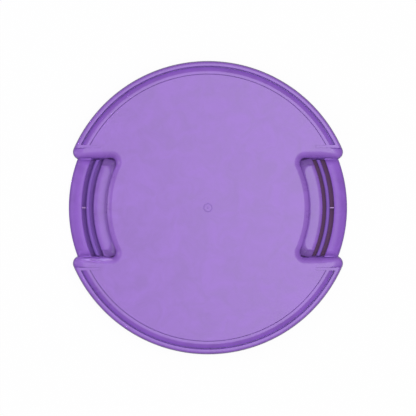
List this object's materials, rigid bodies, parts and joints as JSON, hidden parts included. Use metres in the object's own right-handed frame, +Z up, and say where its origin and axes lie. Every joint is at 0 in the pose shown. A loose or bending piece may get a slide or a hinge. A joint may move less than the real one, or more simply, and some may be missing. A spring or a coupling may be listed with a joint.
{
  "type": "kneeling pad",
  "caption": "Round flat garden kneeling board with a grooved rim at front and rear and a sunken hand well with slots at each side, hollow and ribbed below.",
  "frame": {"origin": "centre of the footprint, on the ground that the board lies on", "axes": "+Z up, +X towards the right hand well, +Y towards the rear rim; the board is the same left and right, and front and rear"},
  "size_m": [0.4266, 0.45, 0.03],
  "materials": {
    "moulding": "purple polyethylene, fine satin grain with a soft sheen"
  },
  "bodies": {
    "root": {"deck": "moulding", "rear_rim": "moulding", "front_rim": "moulding", "left_well": "moulding", "right_well": "moulding", "left_ledge": "moulding", "right_ledge": "moulding", "left_grip": "moulding", "right_grip": "moulding", "inner_ring": "moulding", "middle_ring": "moulding", "outer_ring": "moulding", "groove_webs": "moulding", "radial_ribs": "moulding", "hub_ring": "moulding", "half_ring": "moulding"}
  },
  "joints": []
}
